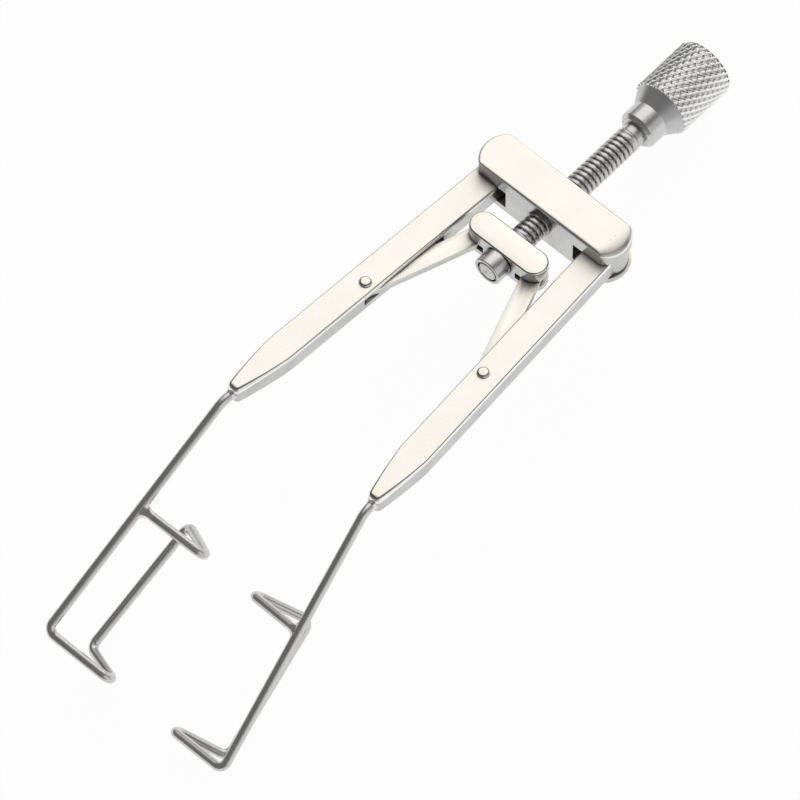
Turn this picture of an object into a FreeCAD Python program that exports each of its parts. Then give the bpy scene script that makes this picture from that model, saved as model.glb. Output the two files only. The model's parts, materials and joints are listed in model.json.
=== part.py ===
import FreeCAD, Part
import math
import os

# Wire eye speculum, millimetres. It is drawn with the screw along Y, the arms pointing to -Y
# and the top faces of the arms at z = 0, then tipped as a whole onto its knob and its blades.

# Yoke, the cross bar that both arms pivot in
yoke_end_margin = 2.0
yoke_depth = 4.2
yoke_end_bulge = 1.05
upper_ear = 1.7
lower_ear = 0.8
yoke_bridge_width = 8.0
edge_chamfer = 0.12

# Arms
arm_thickness = 2.25
arm_width = 2.98
arm_length = 33.5
arm_taper_start = 27.6
arm_tip_width = 1.35
arm_tip_round = 0.35
arm_nose_round = 0.55
arm_taper_bulge = 0.14
arm_splay = 3.6
arm_boss_radius = 1.85
arm_edge_chamfer = 0.16
pivot_spacing = 12.6
pivot_pin_radius = 0.6

# Crosshead, the bar that the screw pushes
crosshead_length = 8.6
crosshead_depth = 2.65
crosshead_height = 3.0
crosshead_distance = 6.15
screw_axis_z = -0.6

# Links between the crosshead and the arms
link_thickness = 0.75
link_end_radius = 0.9
link_level = -0.95
link_pin_spacing = 6.1
link_pin_radius = 0.4
rivet_distance = 17.35
rivet_offset = 0.37
rivet_radius = 0.4
rivet_head_radius = 0.6
rivet_head_height = 0.3
rivet_head_round = 0.16
arm_slot_start = 8.7
arm_slot_margin = 0.3

# Screw, its retaining ring and its knob
thread_radius = 1.25
thread_end = 9.9
neck_radius = 1.18
journal_radius = 0.95
spindle_radius = 1.0
spindle_seat_length = 6.5
dimple_radius = 0.3
dimple_depth = 0.25
ring_radius = 1.45
ring_length = 1.55
ring_overhang = 0.1
ring_chamfer = 0.12
ring_bore_chamfer = 0.1
knob_start = 10.8
collar_radius = 1.95
collar_foot_radius = 1.6
collar_foot_length = 0.35
collar_length = 2.0
knob_cone_length = 1.4
knob_radius = 2.95
knurl_depth = 0.17
knob_length = 6.3
knob_end_round = 0.45

# Blades, each bent from one wire
wire_radius = 0.45
socket_depth = 3.6
exit_run = 1.1
exit_bend_radius = 2.0
wire_slope = 36.9
wire_flare = 2.2
shank_length = 12.15
blade_length = 14.15
hook_bend_radius = 0.9
hook_tip_radius = 0.8
distal_hook = (7.7, 2.75)
distal_rail = (1.95, 5.5)
proximal_hook = (6.95, 3.1)
proximal_rail = (1.75, 6.7)
braze_film = 0.05
socket_fillet = 0.12
joint_fillet_reach = 1.25
joint_fillet_spread = 1.05
joint_fillet_throat = 0.61

# Clearances
running_clearance = 0.03
side_clearance = 0.05
open_pivot_clearance = 0.18
slot_clearance = 0.25
end_float = 0.04

# Rounds of levelling that settle the rest angle
rest_rounds = 6

# Sizes that follow from the ones above
yoke_length = pivot_spacing + 2 * yoke_end_margin
arm_slot_height = arm_thickness + 2 * side_clearance
yoke_top = side_clearance + upper_ear
yoke_bottom = -arm_thickness - side_clearance - lower_ear
yoke_front = -yoke_depth / 2
crosshead_top = screw_axis_z + crosshead_height / 2
crosshead_bottom = screw_axis_z - crosshead_height / 2
crosshead_rear = -crosshead_distance + crosshead_depth / 2
crosshead_front = -crosshead_distance - crosshead_depth / 2
link_slot_height = link_thickness + 2 * side_clearance
link_slot_bottom = link_level - link_slot_height / 2
wire_level = -arm_thickness / 2
ring_rear = crosshead_front - end_float
ring_front = ring_rear - ring_length
splay = math.radians(arm_splay)
slope = math.radians(wire_slope)
flare = math.radians(wire_flare)
rivet_point = (
    pivot_spacing / 2 + rivet_distance * math.sin(splay) - rivet_offset * math.cos(splay),
    -rivet_distance * math.cos(splay) - rivet_offset * math.sin(splay),
)

UP = FreeCAD.Vector(0, 0, 1)
ALONG_SCREW = FreeCAD.Vector(0, 1, 0)
ACROSS = FreeCAD.Vector(1, 0, 0)


def vec(x, y, z=0.0):
    return FreeCAD.Vector(x, y, z)


def line(a, b):
    return Part.LineSegment(a, b).toShape()


def arc(a, middle, b):
    return Part.Arc(a, middle, b).toShape()


def prism(edges, bottom, top):
    face = Part.Face(Part.Wire(edges))
    face.translate(vec(0, 0, bottom))
    return face.extrude(vec(0, 0, top - bottom))


def upright_pin(x, y, radius, bottom, top):
    return Part.makeCylinder(radius, top - bottom, vec(x, y, bottom), UP)


def block(x0, x1, y0, y1, z0, z1):
    return Part.makeBox(x1 - x0, y1 - y0, z1 - z0, vec(x0, y0, z0))


def chamfer_rims(solid, levels, size):
    rims = []
    for edge in solid.Edges:
        box = edge.BoundBox
        level = (box.ZMin + box.ZMax) / 2
        if box.ZLength < size / 10 and min(abs(level - z) for z in levels) < size / 10:
            rims.append(edge)
    return solid.makeChamfer(size, rims)


def mirrored(solid):
    return solid.mirror(vec(0, 0, 0), ACROSS)


def turned_profile(points, axis_level):
    """Revolve (y, radius) points, whose first and last lie on the axis, about the screw axis."""
    corners = [vec(radius, y, axis_level) for y, radius in points]
    edges = [line(a, b) for a, b in zip(corners, corners[1:] + corners[:1])]
    face = Part.Face(Part.Wire(edges))
    return face.revolve(vec(0, 0, axis_level), ALONG_SCREW, 360)


def make_yoke():
    half = yoke_length / 2
    corner = half - yoke_end_bulge
    back = yoke_depth / 2
    outline = [
        line(vec(-corner, -back), vec(corner, -back)),
        arc(vec(corner, -back), vec(half, 0), vec(corner, back)),
        line(vec(corner, back), vec(-corner, back)),
        arc(vec(-corner, back), vec(-half, 0), vec(-corner, -back)),
    ]
    body = chamfer_rims(prism(outline, yoke_bottom, yoke_top), (yoke_bottom, yoke_top), edge_chamfer)
    slot_bottom = -arm_thickness - side_clearance
    for side in (-1, 1):
        inner = side * yoke_bridge_width / 2
        outer = side * yoke_length
        body = body.cut(block(
            min(inner, outer), max(inner, outer), -yoke_depth, yoke_depth,
            slot_bottom, slot_bottom + arm_slot_height))
        body = body.cut(upright_pin(
            side * pivot_spacing / 2, 0, pivot_pin_radius, yoke_bottom, yoke_top))
    thread_hole = Part.makeCylinder(
        thread_radius + running_clearance, yoke_depth, vec(0, yoke_front, screw_axis_z), ALONG_SCREW)
    return body.cut(thread_hole)


def make_arm_pin():
    return upright_pin(pivot_spacing / 2, 0, pivot_pin_radius, yoke_bottom, yoke_top)


def arm_outline():
    half = arm_width / 2
    tip = arm_tip_width / 2
    boss_meets_side = -math.sqrt(arm_boss_radius ** 2 - half ** 2)
    taper_middle = -(arm_taper_start + arm_length) / 2
    bulged = (half + tip) / 2 + arm_taper_bulge
    return [
        arc(vec(half, boss_meets_side), vec(0, arm_boss_radius), vec(-half, boss_meets_side)),
        line(vec(-half, boss_meets_side), vec(-half, -arm_taper_start)),
        arc(vec(-half, -arm_taper_start), vec(-bulged, taper_middle), vec(-tip, -arm_length)),
        line(vec(-tip, -arm_length), vec(tip, -arm_length)),
        arc(vec(tip, -arm_length), vec(bulged, taper_middle), vec(half, -arm_taper_start)),
        line(vec(half, -arm_taper_start), vec(half, boss_meets_side)),
    ]


def round_nosed_bar():
    """A wide bar as long and as thick as an arm, with both edges across its tip rounded."""
    bar = block(-arm_width, arm_width, -arm_length, arm_width, -arm_thickness, 0)
    across = [e for e in bar.Edges if e.BoundBox.YMax < arm_tip_round - arm_length
              and e.BoundBox.XLength > arm_width]
    return bar.makeFillet(arm_nose_round, across)


def link_slot_outline():
    """The saw cut in an arm's inner side that takes the link: its two ends follow the cutter."""
    mouth = -arm_width
    floor = -rivet_offset + link_end_radius + slot_clearance
    inner_side = -arm_width / 2
    far = -(rivet_distance + link_end_radius + arm_slot_margin)
    near = -arm_slot_start
    run_out = (floor - inner_side) / 2
    knee = (floor + inner_side) / 2
    return [
        line(vec(mouth, near), vec(inner_side, near)),
        arc(vec(inner_side, near), vec(knee, near - run_out / 4), vec(floor, near - run_out)),
        line(vec(floor, near - run_out), vec(floor, far + run_out / 2)),
        arc(vec(floor, far + run_out / 2), vec(knee, far + run_out / 8), vec(inner_side, far)),
        line(vec(inner_side, far), vec(mouth, far)),
        line(vec(mouth, far), vec(mouth, near)),
    ]


def splayed(solid):
    """Turn a straight right arm's piece outwards and carry it to its pivot in the yoke."""
    placed = solid.copy()
    placed.rotate(vec(0, 0, 0), UP, arm_splay)
    placed.translate(vec(pivot_spacing / 2, 0, 0))
    return placed


def make_arm():
    bar = prism(arm_outline(), -arm_thickness, 0)
    upright = [e for e in bar.Edges if e.BoundBox.YMax < arm_tip_round - arm_length
               and e.BoundBox.ZLength > arm_tip_round]
    bar = chamfer_rims(bar.makeFillet(arm_tip_round, upright), (-arm_thickness, 0), arm_edge_chamfer)
    body = bar.common(round_nosed_bar())
    body = body.cut(prism(link_slot_outline(), link_slot_bottom, link_slot_bottom + link_slot_height))
    body = body.cut(upright_pin(0, 0, pivot_pin_radius + running_clearance, -arm_thickness, 0))
    body = body.cut(upright_pin(-rivet_offset, -rivet_distance, rivet_radius, -arm_thickness, 0))
    socket = Part.makeCylinder(
        wire_radius + braze_film, socket_depth, vec(0, -arm_length, wire_level), ALONG_SCREW)
    return splayed(body.cut(socket))


def make_link_rivet():
    """A shank through both cheeks of the arm with a low button head on the upper one."""
    x = -rivet_offset
    y = -rivet_distance
    head = upright_pin(x, y, rivet_head_radius, 0, rivet_head_height)
    rim = [e for e in head.Edges if e.BoundBox.ZMin > rivet_head_height / 2]
    head = head.makeFillet(rivet_head_round, rim)
    return splayed(head.fuse(upright_pin(x, y, rivet_radius, -arm_thickness, 0)).removeSplitter())


def make_link():
    start = vec(link_pin_spacing / 2, -crosshead_distance)
    end = vec(rivet_point[0], rivet_point[1])
    along = (end - start).normalize()
    out = UP.cross(along).multiply(link_end_radius)
    tip = FreeCAD.Vector(along).multiply(link_end_radius)
    outline = [
        line(start + out, end + out),
        arc(end + out, end + tip, end - out),
        line(end - out, start - out),
        arc(start - out, start - tip, start + out),
    ]
    bottom = link_level - link_thickness / 2
    top = link_level + link_thickness / 2
    body = prism(outline, bottom, top)
    body = body.cut(upright_pin(start.x, start.y, link_pin_radius + open_pivot_clearance, bottom, top))
    return body.cut(upright_pin(end.x, end.y, rivet_radius + running_clearance, bottom, top))


def make_crosshead():
    round_end = crosshead_depth / 2
    centre = crosshead_length / 2 - round_end
    middle = -crosshead_distance
    outline = [
        line(vec(-centre, crosshead_front), vec(centre, crosshead_front)),
        arc(vec(centre, crosshead_front), vec(crosshead_length / 2, middle), vec(centre, crosshead_rear)),
        line(vec(centre, crosshead_rear), vec(-centre, crosshead_rear)),
        arc(vec(-centre, crosshead_rear), vec(-crosshead_length / 2, middle), vec(-centre, crosshead_front)),
    ]
    levels = (crosshead_bottom, crosshead_top)
    body = chamfer_rims(prism(outline, crosshead_bottom, crosshead_top), levels, edge_chamfer)
    wall = link_pin_spacing / 2 - link_end_radius - slot_clearance
    for side in (-1, 1):
        inner = side * wall
        outer = side * crosshead_length
        body = body.cut(block(
            min(inner, outer), max(inner, outer),
            crosshead_front - crosshead_depth, crosshead_rear + crosshead_depth,
            link_slot_bottom, link_slot_bottom + link_slot_height))
        body = body.cut(upright_pin(
            side * link_pin_spacing / 2, middle, link_pin_radius, crosshead_bottom, crosshead_top))
    journal_hole = Part.makeCylinder(
        journal_radius + running_clearance, crosshead_depth,
        vec(0, crosshead_front, screw_axis_z), ALONG_SCREW)
    return body.cut(journal_hole)


def make_link_pin():
    return upright_pin(
        link_pin_spacing / 2, -crosshead_distance, link_pin_radius, crosshead_bottom, crosshead_top)


def make_adjusting_screw():
    """Journal that turns in the crosshead, threaded length, neck and the seat of the knob."""
    tip = ring_front + ring_overhang
    shoulder = crosshead_rear + end_float
    return turned_profile([
        (tip + dimple_depth, 0),
        (tip, dimple_radius),
        (tip, journal_radius),
        (shoulder, journal_radius),
        (shoulder, thread_radius),
        (thread_end, thread_radius),
        (thread_end, neck_radius),
        (knob_start, neck_radius),
        (knob_start, spindle_radius),
        (knob_start + spindle_seat_length, spindle_radius),
        (knob_start + spindle_seat_length, 0),
    ], screw_axis_z)


def make_retaining_ring():
    ring = turned_profile([
        (ring_rear, 0),
        (ring_rear, ring_radius),
        (ring_front + ring_chamfer, ring_radius),
        (ring_front, ring_radius - ring_chamfer),
        (ring_front, 0),
    ], screw_axis_z)
    bore = turned_profile([
        (ring_front, 0),
        (ring_front, journal_radius + ring_bore_chamfer),
        (ring_front + ring_bore_chamfer, journal_radius),
        (ring_rear, journal_radius),
        (ring_rear, 0),
    ], screw_axis_z)
    return ring.cut(bore)


def make_knob():
    """Collar, cone and grip, turned from one bar and pressed on the screw's spindle."""
    cone_start = knob_start + collar_length
    grip_start = cone_start + knob_cone_length
    grip_end = grip_start + knob_length
    blank = turned_profile([
        (knob_start, 0),
        (knob_start, collar_foot_radius),
        (knob_start + collar_foot_length, collar_radius),
        (cone_start, collar_radius),
        (grip_start, knob_radius - knurl_depth),
        (grip_start, knob_radius),
        (grip_end, knob_radius),
        (grip_end, 0),
    ], screw_axis_z)
    rim = [e for e in blank.Edges if abs(e.BoundBox.YMin - grip_end) < knob_end_round / 10
           and e.BoundBox.YLength < knob_end_round / 10 and e.BoundBox.XLength > knob_radius]
    blank = blank.makeFillet(knob_end_round, rim)
    seat = Part.makeCylinder(
        spindle_radius, spindle_seat_length, vec(0, knob_start, screw_axis_z), ALONG_SCREW)
    return blank.cut(seat)


def rounded_path(points, radii):
    """Straight runs joined by tangent arcs: radii holds one radius for each inner point."""
    edges = []
    start = points[0]
    for before, corner, after, radius in zip(points, points[1:], points[2:], radii):
        back = (before - corner).normalize()
        ahead = (after - corner).normalize()
        half_angle = back.getAngle(ahead) / 2
        reach = radius / math.tan(half_angle)
        arc_start = corner + back * reach
        arc_end = corner + ahead * reach
        bisector = (back + ahead).normalize()
        arc_middle = corner + bisector * (radius / math.sin(half_angle) - radius)
        edges.append(line(start, arc_start))
        edges.append(arc(arc_start, arc_middle, arc_end))
        start = arc_end
    edges.append(line(start, points[-1]))
    return Part.Wire(edges)


def blade_point(distance, inward, below):
    """A point given along the sloping wire, towards the other blade and square below the wire."""
    ahead = distance * math.cos(slope) - below * math.sin(slope)
    down = distance * math.sin(slope) + below * math.cos(slope)
    x = ahead * math.sin(flare) - inward * math.cos(flare)
    y = -ahead * math.cos(flare) - inward * math.sin(flare)
    return vec(x, y - arm_length - exit_run, wire_level - down)


def joint_direction():
    return (blade_point(shank_length, *proximal_hook) - blade_point(shank_length, 0, 0)).normalize()


def blade_path():
    blade_end = shank_length + blade_length
    joint = blade_point(shank_length, 0, 0)
    points = [
        vec(0, -arm_length + socket_depth, wire_level),
        blade_point(0, 0, 0),
        blade_point(blade_end, 0, 0),
        blade_point(blade_end, *distal_hook),
        blade_point(blade_end, *distal_rail),
        blade_point(shank_length, *proximal_rail),
        blade_point(shank_length, *proximal_hook),
        joint + joint_direction() * (wire_radius + braze_film),
    ]
    radii = [exit_bend_radius, hook_bend_radius, hook_tip_radius, hook_bend_radius,
             hook_bend_radius, hook_tip_radius]
    return rounded_path(points, radii)


def make_blade_wire():
    path = blade_path()
    first = path.OrderedVertexes[0].Point
    section = Part.Wire(Part.makeCircle(wire_radius, first, ALONG_SCREW))
    wire = path.makePipeShell([section], True, True)
    expected = math.pi * wire_radius ** 2 * path.Length
    print("blade wire volume over section times length:", round(wire.Volume / expected, 4))
    return wire


def make_joint_braze(blade_wire):
    """Fillet of braze where the end of the loop meets the shank, hollow along its slope."""
    joint = blade_point(shank_length, 0, 0)
    ahead = joint_direction()
    along_wire = (blade_point(shank_length, 0, 0) - blade_point(0, 0, 0)).normalize()
    normal = ahead.cross(along_wire).normalize()
    foot = joint + along_wire * joint_fillet_spread
    end = joint + ahead * joint_fillet_reach
    lip = end + along_wire * (wire_radius + braze_film)
    hollow = joint + ahead * (joint_fillet_reach / 2) + along_wire * joint_fillet_throat
    profile = [line(joint, foot), arc(foot, hollow, lip), line(lip, end), line(end, joint)]
    fillet = Part.Face(Part.Wire(profile)).revolve(joint, ahead, 360)
    widest = joint_fillet_reach + joint_fillet_spread
    slab = Part.makeCylinder(widest, 2 * wire_radius, joint - normal * wire_radius, normal)
    return fillet.common(slab).cut(blade_wire)


def make_socket_braze(blade_wire):
    """Film of braze round the wire in the arm's tip, with a small fillet outside the tip face."""
    film = Part.makeCylinder(
        wire_radius + braze_film, socket_depth, vec(0, -arm_length, wire_level), ALONG_SCREW)
    collar = Part.makeCone(
        wire_radius + socket_fillet, wire_radius + braze_film / 2, 2 * socket_fillet,
        vec(0, -arm_length, wire_level), vec(0, -1, 0))
    return film.fuse(collar).cut(blade_wire).removeSplitter()


def tipped(degrees):
    return FreeCAD.Placement(vec(0, 0, 0), FreeCAD.Rotation(ACROSS, -degrees))


def lowest(solid, placement):
    return placed(solid, placement).optimalBoundingBox(False, False).ZMin


def rest_angle(pieces):
    """Degrees that the tips are raised by, so that the knob and both blades touch one level."""
    knob_end = knob_start + collar_length + knob_cone_length + knob_length
    run = knob_end - blade_point(shank_length + blade_length, 0, 0).y
    angle = 0.0
    for _ in range(rest_rounds):
        heel = lowest(pieces["knob"], tipped(angle))
        toe = lowest(pieces["right_blade_wire"], tipped(angle))
        angle -= math.degrees(math.atan2(toe - heel, run))
    return angle


def build_parts():
    blade_wire = make_blade_wire()
    right_pieces = {
        "arm_pin": make_arm_pin(),
        "arm": make_arm(),
        "link_rivet": make_link_rivet(),
        "link": make_link(),
        "link_pin": make_link_pin(),
        "blade_wire": splayed(blade_wire),
        "joint_braze": splayed(make_joint_braze(blade_wire)),
        "socket_braze": splayed(make_socket_braze(blade_wire)),
    }
    pieces = {
        "yoke": make_yoke(),
        "crosshead": make_crosshead(),
        "adjusting_screw": make_adjusting_screw(),
        "retaining_ring": make_retaining_ring(),
        "knob": make_knob(),
    }
    for name, solid in right_pieces.items():
        pieces["right_" + name] = solid
        pieces["left_" + name] = mirrored(solid)
    return pieces


def resting_frame(pieces):
    """Placement that stands the pieces on z = 0 with the middle of their box at the origin."""
    placement = tipped(rest_angle(pieces))
    whole = Part.makeCompound([placed(solid, placement) for solid in pieces.values()])
    box = whole.optimalBoundingBox(False, False)
    placement.Base = vec(0, -(box.YMin + box.YMax) / 2, -box.ZMin)
    return placement


def placed(solid, placement):
    moved = solid.copy()
    moved.Placement = placement.multiply(moved.Placement)
    return moved


def export_parts(pieces, placement):
    os.makedirs("parts", exist_ok=True)
    for name, solid in pieces.items():
        placed(solid, placement).exportStep("parts/" + name + ".step")


speculum = build_parts()
resting = resting_frame(speculum)
export_parts(speculum, resting)
print("pieces:", len(speculum))
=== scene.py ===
import json
import math

import bmesh
import bpy
from mathutils import Matrix, Vector


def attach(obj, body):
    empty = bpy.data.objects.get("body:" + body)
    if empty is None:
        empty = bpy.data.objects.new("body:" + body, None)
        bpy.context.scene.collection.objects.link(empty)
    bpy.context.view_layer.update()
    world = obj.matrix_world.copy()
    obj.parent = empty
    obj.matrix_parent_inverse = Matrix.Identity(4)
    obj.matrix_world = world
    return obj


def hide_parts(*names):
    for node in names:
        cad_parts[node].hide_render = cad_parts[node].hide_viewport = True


# Wire eye speculum. Pieces are drawn in millimetres with the screw along Y, the arms pointing
# to -Y and the arms' top faces at z = 0, then carried to where the frame stands at rest.

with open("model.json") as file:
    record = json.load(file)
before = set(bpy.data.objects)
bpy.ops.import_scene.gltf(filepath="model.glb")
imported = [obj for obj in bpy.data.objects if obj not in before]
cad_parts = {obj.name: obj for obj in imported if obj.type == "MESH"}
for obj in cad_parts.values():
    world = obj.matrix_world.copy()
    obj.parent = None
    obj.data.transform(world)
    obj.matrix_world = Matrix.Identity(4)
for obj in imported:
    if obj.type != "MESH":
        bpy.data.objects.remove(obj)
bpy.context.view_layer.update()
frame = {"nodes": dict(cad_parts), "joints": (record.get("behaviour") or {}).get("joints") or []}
joints = {joint["name"]: joint for joint in frame["joints"]}
mm = 0.001

arms = dict(thickness=2.25, length=33.5, splay=3.6, pivotSpacing=12.6)
screwAxisHeight = -0.6
wireLevel = -arms["thickness"] / 2
sharpFrom = math.radians(32)   # edges bent more than this stay crisp
hair = 0.001   # smaller than any real size, for comparing places


def restMatrix():
    right = Vector(joints["right_arm_pivot"]["pos_m"])
    left = Vector(joints["left_arm_pivot"]["pos_m"])
    up = Vector(joints["right_arm_pivot"]["axis"]).normalized()
    toKnob = -Vector(joints["crosshead_travel"]["axis"]).normalized()
    turned = Matrix((toKnob.cross(up), toKnob, up)).transposed().to_4x4()
    origin = (right + left) / 2 + up * (arms["thickness"] / 2 * mm)
    return Matrix.Translation(origin) @ turned


toRest = restMatrix()
fromRest = toRest.inverted()
upAtRest = toRest.to_3x3() @ Vector((0, 0, 1))
alongScrew = toRest.to_3x3() @ Vector((0, 1, 0))
splayed = (Matrix.Translation((arms["pivotSpacing"] / 2, 0, 0))
           @ Matrix.Rotation(math.radians(arms["splay"]), 4, "Z"))
sides = {"right": Matrix.Identity(4), "left": Matrix.Diagonal((-1, 1, 1, 1))}


# Small helpers for node trees

def put(tree, kind, **settings):
    made = tree.nodes.new(kind)
    for key, value in settings.items():
        setattr(made, key, value)
    return made


def feed(tree, value, socket):
    if isinstance(value, bpy.types.NodeSocket):
        tree.links.new(value, socket)
    else:
        socket.default_value = value


def calc(tree, operation, *values, clamp=False):
    made = put(tree, "ShaderNodeMath", operation=operation, use_clamp=clamp)
    for value, socket in zip(values, made.inputs):
        feed(tree, value, socket)
    return made.outputs[0]


def ramped(tree, value, low, high, outLow=0.0, outHigh=1.0):
    made = put(tree, "ShaderNodeMapRange", interpolation_type="SMOOTHSTEP")
    for name, part in (("Value", value), ("From Min", low), ("From Max", high),
                       ("To Min", outLow), ("To Max", outHigh)):
        feed(tree, part, made.inputs[name])
    return made.outputs["Result"]


def newTree(name, kind, inputs, outputs):
    tree = bpy.data.node_groups.new(name, kind)
    for direction, sockets in (("INPUT", inputs), ("OUTPUT", outputs)):
        for label, (socketKind, value) in sockets.items():
            socket = tree.interface.new_socket(label, in_out=direction, socket_type="NodeSocket" + socketKind)
            if value is not None:
                socket.default_value = value
    return tree, put(tree, "NodeGroupInput"), put(tree, "NodeGroupOutput")


# Geometry node trees

def finishTree(tree, geometry, material, ending):
    real = put(tree, "GeometryNodeRealizeInstances")
    painted = put(tree, "GeometryNodeSetMaterial")
    tree.links.new(geometry, real.inputs[0])
    tree.links.new(real.outputs[0], painted.inputs["Geometry"])
    tree.links.new(material, painted.inputs["Material"])
    tree.links.new(painted.outputs[0], ending.inputs[0])


def turnedSurface(tree, height):
    # where a point of a turned piece lies: x and z off the axis, y along it, radius and turns
    place = put(tree, "ShaderNodeSeparateXYZ")
    tree.links.new(put(tree, "GeometryNodeInputPosition").outputs[0], place.inputs[0])
    x, y = place.outputs[0], place.outputs[1]
    z = calc(tree, "SUBTRACT", place.outputs[2], height)
    radius = calc(tree, "SQRT", calc(tree, "ADD", calc(tree, "MULTIPLY", x, x), calc(tree, "MULTIPLY", z, z)))
    turns = calc(tree, "DIVIDE", calc(tree, "ARCTAN2", x, z), math.tau)
    return x, y, z, radius, turns


def sinkRadially(tree, geometry, x, z, radius, sunk, fullDepth):
    # the share of the full depth stays on the mesh, for the material to paint shade down the cut
    noted = put(tree, "GeometryNodeStoreNamedAttribute", data_type="FLOAT", domain="POINT")
    noted.inputs["Name"].default_value = "sunk"
    tree.links.new(geometry, noted.inputs["Geometry"])
    tree.links.new(sunk, noted.inputs["Value"])
    depth = calc(tree, "MULTIPLY", sunk, fullDepth)
    share = calc(tree, "DIVIDE", depth, calc(tree, "MAXIMUM", radius, 0.01))
    offset = put(tree, "ShaderNodeCombineXYZ")
    inward = calc(tree, "MULTIPLY", share, -1.0)
    for axis, value in ((0, x), (2, z)):
        tree.links.new(calc(tree, "MULTIPLY", value, inward), offset.inputs[axis])
    moved = put(tree, "GeometryNodeSetPosition")
    tree.links.new(noted.outputs[0], moved.inputs["Geometry"])
    tree.links.new(offset.outputs[0], moved.inputs["Offset"])
    return moved.outputs[0]


def ridge(tree, phase):
    # 0 on the ridge, 1 in the groove half a step on
    return calc(tree, "PINGPONG", calc(tree, "MULTIPLY", calc(tree, "FRACT", phase), 2.0), 1.0)


def between(tree, y, start, end, fade):
    rising = ramped(tree, y, start, calc(tree, "ADD", start, fade))
    falling = ramped(tree, y, calc(tree, "SUBTRACT", end, fade), end, 1.0, 0.0)
    return calc(tree, "MULTIPLY", rising, falling)


def makeThreadTree():
    tree, start, end = newTree("cutThread", "GeometryNodeTree", {
        "Geometry": ("Geometry", None), "Pitch": ("Float", 0.55), "Depth": ("Float", 0.3),
        "Crest Share": ("Float", 0.14), "Root Share": ("Float", 0.9),
        "Start": ("Float", 0.0), "End": ("Float", 1.0), "Run Out": ("Float", 0.4),
        "Axis Height": ("Float", 0.0), "Material": ("Material", None),
    }, {"Geometry": ("Geometry", None)})
    given = start.outputs
    x, y, z, radius, turns = turnedSurface(tree, given["Axis Height"])
    phase = calc(tree, "SUBTRACT", calc(tree, "DIVIDE", y, given["Pitch"]), turns)
    groove = ramped(tree, ridge(tree, phase), given["Crest Share"], given["Root Share"])
    mask = between(tree, y, given["Start"], given["End"], given["Run Out"])
    sunk = calc(tree, "MULTIPLY", groove, mask)
    cut = sinkRadially(tree, given["Geometry"], x, z, radius, sunk, given["Depth"])
    finishTree(tree, cut, given["Material"], end)
    return tree


def makeKnurlTree():
    tree, start, end = newTree("cutKnurl", "GeometryNodeTree", {
        "Geometry": ("Geometry", None), "Ridges": ("Float", 28.0), "Step Along": ("Float", 1.1),
        "Depth": ("Float", 0.2), "Crest Share": ("Float", 0.1), "Flank Share": ("Float", 0.4),
        "Notch Share": ("Float", 0.6), "Start": ("Float", 0.0), "End": ("Float", 1.0),
        "Run Out": ("Float", 0.1), "Axis Height": ("Float", 0.0), "Material": ("Material", None),
    }, {"Geometry": ("Geometry", None)})
    given = start.outputs
    x, y, z, radius, turns = turnedSurface(tree, given["Axis Height"])
    around = calc(tree, "MULTIPLY", turns, given["Ridges"])
    along = calc(tree, "DIVIDE", y, given["Step Along"])
    slope = calc(tree, "SUBTRACT", ridge(tree, calc(tree, "SUBTRACT", around, along)), given["Crest Share"])
    furrow = calc(tree, "DIVIDE", slope, given["Flank Share"], clamp=True)
    notch = ramped(tree, ridge(tree, calc(tree, "ADD", around, along)), 0.45, 0.9)
    share = calc(tree, "ADD", calc(tree, "SUBTRACT", 1.0, given["Notch Share"]),
                 calc(tree, "MULTIPLY", notch, given["Notch Share"]))   # notches leave the long ridges whole
    mask = between(tree, y, given["Start"], given["End"], given["Run Out"])
    sunk = calc(tree, "MULTIPLY", calc(tree, "MULTIPLY", furrow, share), mask)
    cut = sinkRadially(tree, given["Geometry"], x, z, radius, sunk, given["Depth"])
    finishTree(tree, cut, given["Material"], end)
    return tree


def makeWireTree():
    tree, start, end = newTree("bendWire", "GeometryNodeTree", {
        "Geometry": ("Geometry", None), "Wire Radius": ("Float", 0.4), "Bend Steps": ("Int", 14),
        "Ring Steps": ("Int", 32), "Material": ("Material", None),
    }, {"Geometry": ("Geometry", None)})
    given = start.outputs
    curve = put(tree, "GeometryNodeMeshToCurve")
    bendRadius = put(tree, "GeometryNodeInputNamedAttribute", data_type="FLOAT")
    bendRadius.inputs["Name"].default_value = "bendRadius"
    bent = put(tree, "GeometryNodeFilletCurve", mode="POLY")
    ring = put(tree, "GeometryNodeCurvePrimitiveCircle")
    tube = put(tree, "GeometryNodeCurveToMesh")
    tube.inputs["Fill Caps"].default_value = True
    smooth = put(tree, "GeometryNodeSetShadeSmooth")
    tree.links.new(given["Geometry"], curve.inputs["Mesh"])
    tree.links.new(curve.outputs[0], bent.inputs["Curve"])
    tree.links.new(bendRadius.outputs["Attribute"], bent.inputs["Radius"])
    tree.links.new(given["Bend Steps"], bent.inputs["Count"])
    tree.links.new(given["Ring Steps"], ring.inputs["Resolution"])
    tree.links.new(given["Wire Radius"], ring.inputs["Radius"])
    tree.links.new(bent.outputs[0], tube.inputs["Curve"])
    tree.links.new(ring.outputs[0], tube.inputs["Profile Curve"])
    tree.links.new(tube.outputs[0], smooth.inputs["Geometry"])
    finishTree(tree, smooth.outputs[0], given["Material"], end)
    return tree


# Shader groups and materials

def addBump(tree, height, strength, distance, normal=None):
    bump = put(tree, "ShaderNodeBump")
    feed(tree, height, bump.inputs["Height"])
    feed(tree, strength, bump.inputs["Strength"])
    feed(tree, distance, bump.inputs["Distance"])
    if normal is not None:
        tree.links.new(normal, bump.inputs["Normal"])
    return bump.outputs[0]


def noiseAt(tree, vector, scale, detail=2.0, roughness=0.5):
    made = put(tree, "ShaderNodeTexNoise")
    tree.links.new(vector, made.inputs["Vector"])
    for name, value in (("Scale", scale), ("Detail", detail), ("Roughness", roughness)):
        feed(tree, value, made.inputs[name])
    return made.outputs["Fac"]


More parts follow.
